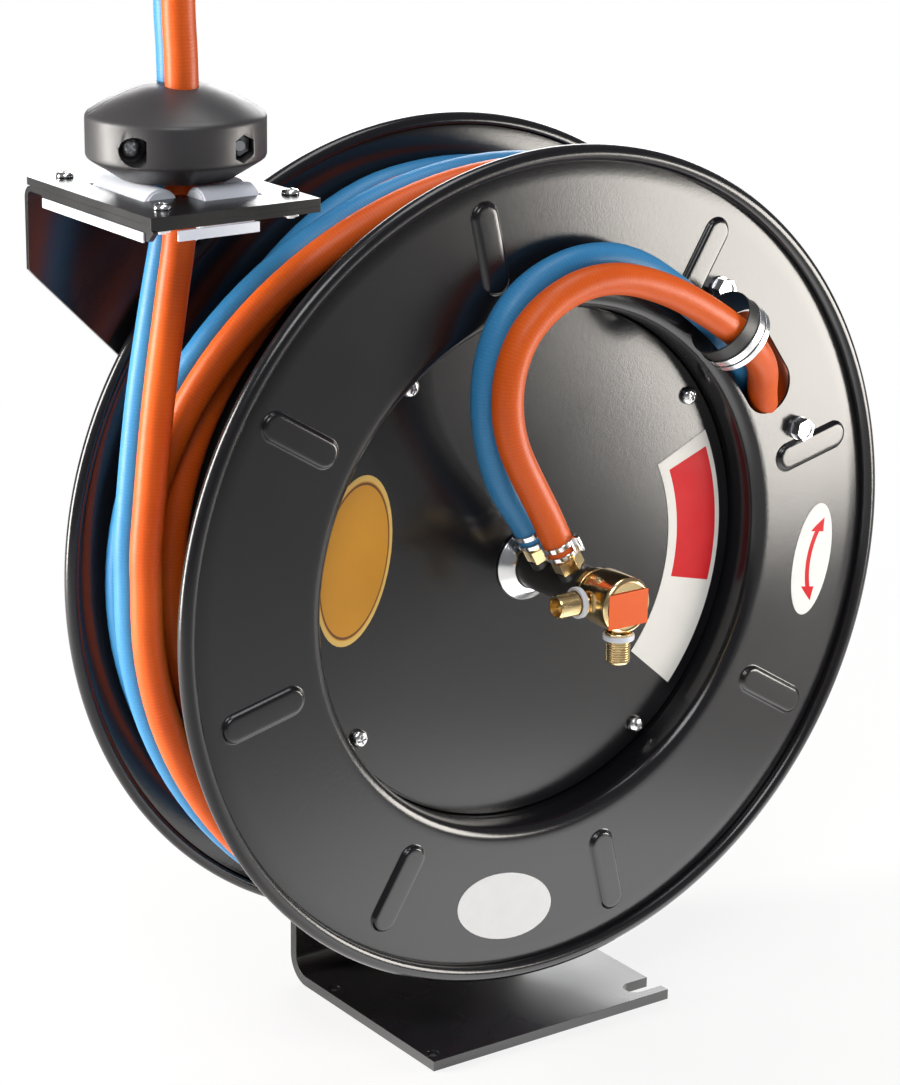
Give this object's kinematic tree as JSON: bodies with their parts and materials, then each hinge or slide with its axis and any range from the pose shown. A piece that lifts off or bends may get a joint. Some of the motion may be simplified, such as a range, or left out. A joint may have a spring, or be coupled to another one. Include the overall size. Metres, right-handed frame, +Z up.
{
  "type": "hose_reel",
  "caption": "Spring-rewind twin hose reel: black drum on a bent foot, blue and orange hoses, roller guide, rubber ball stop, brass swivel.",
  "frame": {"origin": "middle of the foot's underside, across its width and depth", "axes": "+X right as seen from the swivel side, +Y from the swivel side to the upright, +Z up"},
  "size_m": [0.482, 0.22, 0.643],
  "materials": {
    "satin_black": "satin",
    "gloss_black": "gloss",
    "zinc_steel": "satin",
    "bright_steel": "gloss",
    "spring_steel": "satin",
    "brass": "satin",
    "white_nylon": "satin",
    "black_sleeve": "satin",
    "black_rubber": "matte",
    "ball_rubber": "satin",
    "blue_hose": "satin",
    "orange_hose": "satin",
    "gold_label": "satin",
    "orange_label": "matte",
    "white_label": "satin"
  },
  "bodies": {
    "frame": {"base_frame": "gloss_black", "guide_arm": "gloss_black", "arm_bolts": "zinc_steel", "axle": "zinc_steel", "axle_washer": "zinc_steel", "axle_nut": "zinc_steel", "spring_arbor": "zinc_steel", "roller_top_plate": "gloss_black", "roller_pins": "zinc_steel", "guide_screws": "zinc_steel", "pawl_pin": "zinc_steel", "pawl_spring": "spring_steel", "swivel_body": "brass", "inlet_nipple_side": "brass", "inlet_nipple_down": "brass", "nipple_seals": "white_nylon", "swivel_label": "orange_label", "hose_run_blue": "blue_hose", "hose_run_orange": "orange_hose"},
    "roller_front": {"roller_front": "white_nylon"},
    "roller_rear": {"roller_rear": "white_nylon"},
    "roller_left": {"roller_left": "white_nylon"},
    "roller_right": {"roller_right": "white_nylon"},
    "pawl": {"ratchet_pawl": "zinc_steel"},
    "drum": {"front_flange": "satin_black", "rear_flange": "satin_black", "hub_bolts": "zinc_steel", "spring_case": "satin_black", "spring_cover": "satin_black", "cover_screws": "bright_steel", "power_spring": "spring_steel", "front_bush": "brass", "rear_bush": "brass", "hub": "satin_black", "ratchet_ring": "zinc_steel", "ratchet_screws": "zinc_steel", "bearing_cup": "bright_steel", "swivel_sleeve": "black_sleeve", "swivel_collar": "brass", "hose_tails": "brass", "tail_clamps": "bright_steel", "jumper_hose_blue": "blue_hose", "jumper_hose_orange": "orange_hose", "hose_cuff": "black_rubber", "cuff_bands": "zinc_steel", "clamp_bolts": "zinc_steel", "hose_core": "black_rubber", "hose_winding_blue": "blue_hose", "hose_winding_orange": "orange_hose", "cover_oval_label": "gold_label", "cover_arc_label": "white_label", "arrow_label": "white_label", "oval_label": "white_label"},
    "hose_end": {"stop_half_front": "ball_rubber", "stop_half_rear": "ball_rubber", "stop_bolts": "zinc_steel", "hose_outlet_blue": "blue_hose", "hose_outlet_orange": "orange_hose", "end_fittings": "brass"}
  },
  "joints": [
    {"name": "drum_spin", "type": "hinge", "parent": "frame", "child": "drum", "pos_m": [0, -0.0025, 0.271], "axis": [0, 1, 0], "range_deg": [0, 360], "stiffness_Nm_per_rad": 0.8, "springref_deg": -458.37, "deforming": ["power_spring", "hose_run_blue", "hose_run_orange"]},
    {"name": "hose_pull", "type": "slide", "parent": "frame", "child": "hose_end", "axis": [0, 0, 1], "range_m": [0, 1.386]},
    {"name": "roller_front_spin", "type": "hinge", "parent": "frame", "child": "roller_front", "pos_m": [-0.186, -0.0275, 0.4882], "axis": [1, 0, 0], "continuous": true},
    {"name": "roller_rear_spin", "type": "hinge", "parent": "frame", "child": "roller_rear", "pos_m": [-0.186, 0.036, 0.4882], "axis": [1, 0, 0], "continuous": true},
    {"name": "roller_left_spin", "type": "hinge", "parent": "frame", "child": "roller_left", "pos_m": [-0.2187, 0.00425, 0.4882], "axis": [0, 1, 0], "continuous": true},
    {"name": "roller_right_spin", "type": "hinge", "parent": "frame", "child": "roller_right", "pos_m": [-0.1717, 0.00425, 0.4882], "axis": [0, 1, 0], "continuous": true},
    {"name": "pawl_swing", "type": "hinge", "parent": "frame", "child": "pawl", "pos_m": [0.062, 0.053, 0.217], "axis": [0, -1, 0], "range_deg": [0, 10], "stiffness_Nm_per_rad": 0.05, "springref_deg": -17.19}
  ],
  "couplings": [
    {"joint": "hose_pull", "follows": "drum_spin", "m_per_rad": 0.2205}
  ]
}
